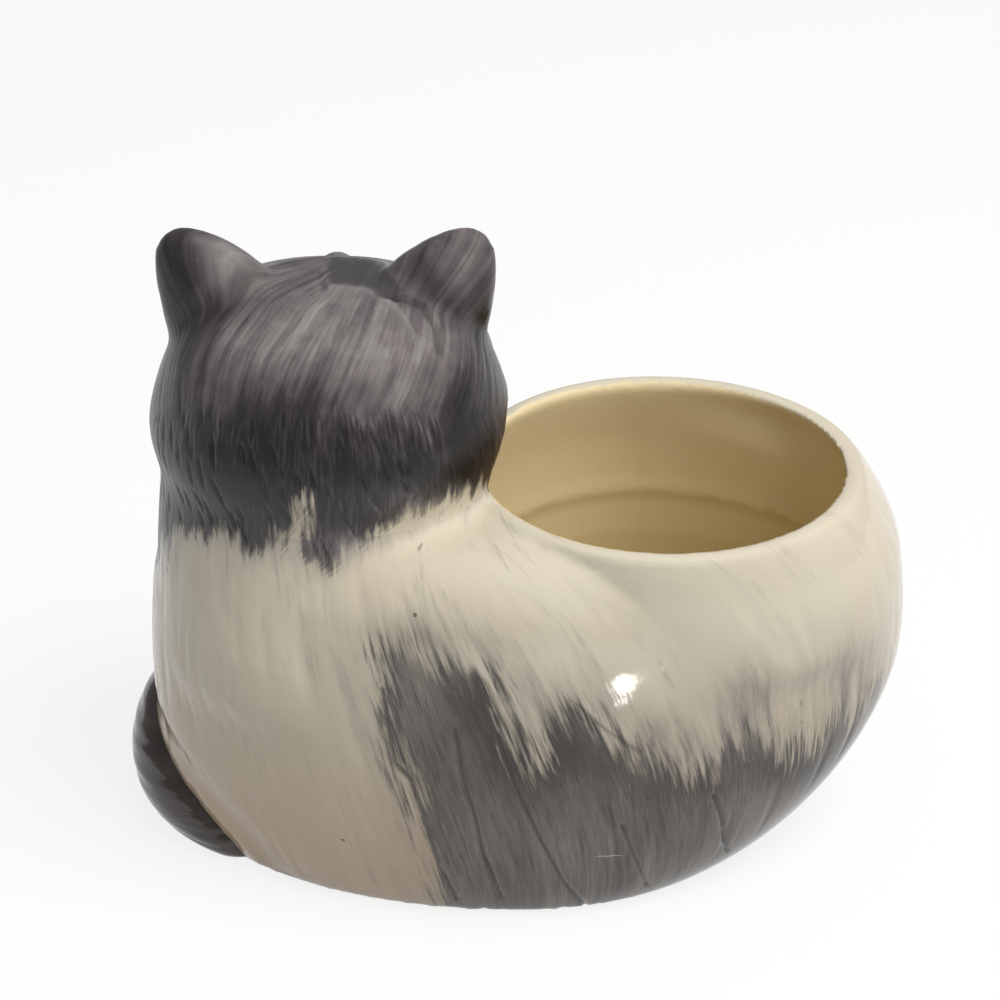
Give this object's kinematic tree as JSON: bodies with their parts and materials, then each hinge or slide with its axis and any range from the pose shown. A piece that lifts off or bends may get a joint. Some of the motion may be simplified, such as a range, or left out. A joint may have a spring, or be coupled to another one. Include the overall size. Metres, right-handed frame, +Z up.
{
  "type": "animal shaped planter",
  "caption": "Glazed earthenware planter in the shape of a lying long-haired cat, with a round bowl opening in its back and a tail swept round the foot.",
  "frame": {"origin": "on the floor, under the middle of the figure's box", "axes": "+X from the rump to the head end, +Y towards the cat's back, +Z up; the face looks along -Y"},
  "size_m": [0.2058, 0.14, 0.165],
  "materials": {
    "cream_glaze": "clear gloss glaze over brushed cream and grey underglaze",
    "dark_grey_glaze": "satin glaze over brushed dark grey underglaze",
    "grey_glaze": "clear gloss glaze over brushed dark grey-brown underglaze"
  },
  "bodies": {
    "root": {"body": "cream_glaze", "head": "dark_grey_glaze", "left_ear": "dark_grey_glaze", "right_ear": "dark_grey_glaze", "tail": "grey_glaze", "left_forepaw": "cream_glaze", "right_forepaw": "cream_glaze", "hind_paw": "cream_glaze"}
  },
  "joints": []
}
